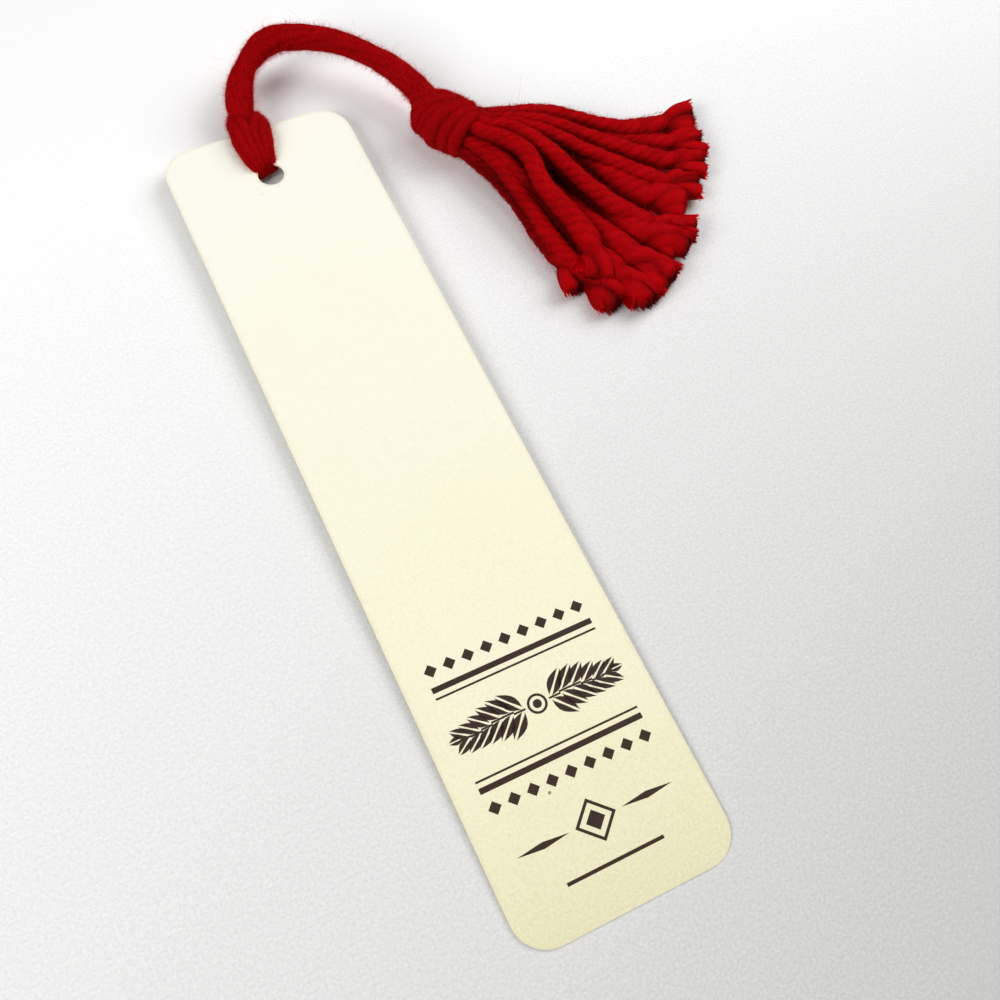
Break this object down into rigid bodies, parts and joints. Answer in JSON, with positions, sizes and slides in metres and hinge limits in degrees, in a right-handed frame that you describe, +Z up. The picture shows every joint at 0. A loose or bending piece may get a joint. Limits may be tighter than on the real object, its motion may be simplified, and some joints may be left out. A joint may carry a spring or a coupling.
{
  "type": "tasselled bookmark",
  "caption": "Flat card bookmark with rounded corners and a punched hole; a yarn tassel hitched through the hole flips over, swings and spreads.",
  "frame": {"origin": "middle of the card's footprint on the table it lies on", "axes": "+Y along the card towards its punched end, +X across the card towards the tassel, +Z up, out of the printed face"},
  "size_m": [0.1047, 0.1826, 0.012],
  "materials": {
    "card_stock": "smooth uncoated card",
    "red_yarn": "fuzzy plied yarn"
  },
  "bodies": {
    "card": {"card": "card_stock"},
    "hitch": {"hitch": "red_yarn"},
    "cord": {"cord": "red_yarn"},
    "knot": {"knot": "red_yarn"},
    "tassel_strand_01": {"tassel_strand_01": "red_yarn"},
    "tassel_strand_02": {"tassel_strand_02": "red_yarn"},
    "tassel_strand_03": {"tassel_strand_03": "red_yarn"},
    "tassel_strand_04": {"tassel_strand_04": "red_yarn"},
    "tassel_strand_05": {"tassel_strand_05": "red_yarn"},
    "tassel_strand_06": {"tassel_strand_06": "red_yarn"},
    "tassel_strand_07": {"tassel_strand_07": "red_yarn"},
    "tassel_strand_08": {"tassel_strand_08": "red_yarn"},
    "tassel_strand_09": {"tassel_strand_09": "red_yarn"},
    "tassel_strand_10": {"tassel_strand_10": "red_yarn"},
    "tassel_strand_11": {"tassel_strand_11": "red_yarn"},
    "tassel_strand_12": {"tassel_strand_12": "red_yarn"}
  },
  "joints": [
    {"name": "hitch_swing", "type": "hinge", "parent": "card", "child": "hitch", "pos_m": [0, 0.06938, 0.0032], "axis": [0, -0.0199, 0.9998], "range_deg": [-8, 8]},
    {"name": "cord_flip", "type": "hinge", "parent": "hitch", "child": "cord", "pos_m": [0, 0.08653, 0.00604], "axis": [0, -0.9998, -0.0199], "range_deg": [0, 170]},
    {"name": "knot_swing", "type": "hinge", "parent": "cord", "child": "knot", "pos_m": [0.0348, 0.07553, 0.006], "axis": [0, 0, 1], "range_deg": [-6, 15]},
    {"name": "tassel_spread", "type": "hinge", "parent": "knot", "child": "tassel_strand_01", "pos_m": [0.03776, 0.06946, 0.006], "axis": [0, 0, 1], "range_deg": [-3, 5]},
    {"name": "tassel_strand_02_spread", "type": "hinge", "parent": "knot", "child": "tassel_strand_02", "pos_m": [0.03776, 0.06946, 0.006], "axis": [0, 0, 1], "range_deg": [-2.46, 4.1]},
    {"name": "tassel_strand_03_spread", "type": "hinge", "parent": "knot", "child": "tassel_strand_03", "pos_m": [0.03776, 0.06946, 0.006], "axis": [0, 0, 1], "range_deg": [-1.92, 3.19]},
    {"name": "tassel_strand_04_spread", "type": "hinge", "parent": "knot", "child": "tassel_strand_04", "pos_m": [0.03776, 0.06946, 0.006], "axis": [0, 0, 1], "range_deg": [-1.37, 2.28]},
    {"name": "tassel_strand_05_spread", "type": "hinge", "parent": "knot", "child": "tassel_strand_05", "pos_m": [0.03776, 0.06946, 0.006], "axis": [0, 0, 1], "range_deg": [-0.83, 1.37]},
    {"name": "tassel_strand_06_spread", "type": "hinge", "parent": "knot", "child": "tassel_strand_06", "pos_m": [0.03776, 0.06946, 0.006], "axis": [0, 0, 1], "range_deg": [-0.28, 0.46]},
    {"name": "tassel_strand_07_spread", "type": "hinge", "parent": "knot", "child": "tassel_strand_07", "pos_m": [0.03776, 0.06946, 0.006], "axis": [0, 0, 1], "range_deg": [-0.46, 0.28]},
    {"name": "tassel_strand_08_spread", "type": "hinge", "parent": "knot", "child": "tassel_strand_08", "pos_m": [0.03776, 0.06946, 0.006], "axis": [0, 0, 1], "range_deg": [-1.37, 0.83]},
    {"name": "tassel_strand_09_spread", "type": "hinge", "parent": "knot", "child": "tassel_strand_09", "pos_m": [0.03776, 0.06946, 0.006], "axis": [0, 0, 1], "range_deg": [-2.28, 1.37]},
    {"name": "tassel_strand_10_spread", "type": "hinge", "parent": "knot", "child": "tassel_strand_10", "pos_m": [0.03776, 0.06946, 0.006], "axis": [0, 0, 1], "range_deg": [-3.19, 1.92]},
    {"name": "tassel_strand_11_spread", "type": "hinge", "parent": "knot", "child": "tassel_strand_11", "pos_m": [0.03776, 0.06946, 0.006], "axis": [0, 0, 1], "range_deg": [-4.1, 2.46]},
    {"name": "tassel_strand_12_spread", "type": "hinge", "parent": "knot", "child": "tassel_strand_12", "pos_m": [0.03776, 0.06946, 0.006], "axis": [0, 0, 1], "range_deg": [-5.01, 3.01]}
  ],
  "couplings": [
    {"joint": "tassel_strand_02_spread", "follows": "tassel_spread", "ratio": 0.81818},
    {"joint": "tassel_strand_03_spread", "follows": "tassel_spread", "ratio": 0.63636},
    {"joint": "tassel_strand_04_spread", "follows": "tassel_spread", "ratio": 0.45454},
    {"joint": "tassel_strand_05_spread", "follows": "tassel_spread", "ratio": 0.27273},
    {"joint": "tassel_strand_06_spread", "follows": "tassel_spread", "ratio": 0.090909},
    {"joint": "tassel_strand_07_spread", "follows": "tassel_spread", "ratio": -0.090909},
    {"joint": "tassel_strand_08_spread", "follows": "tassel_spread", "ratio": -0.27273},
    {"joint": "tassel_strand_09_spread", "follows": "tassel_spread", "ratio": -0.45454},
    {"joint": "tassel_strand_10_spread", "follows": "tassel_spread", "ratio": -0.63636},
    {"joint": "tassel_strand_11_spread", "follows": "tassel_spread", "ratio": -0.81818},
    {"joint": "tassel_strand_12_spread", "follows": "tassel_spread", "ratio": -1}
  ]
}
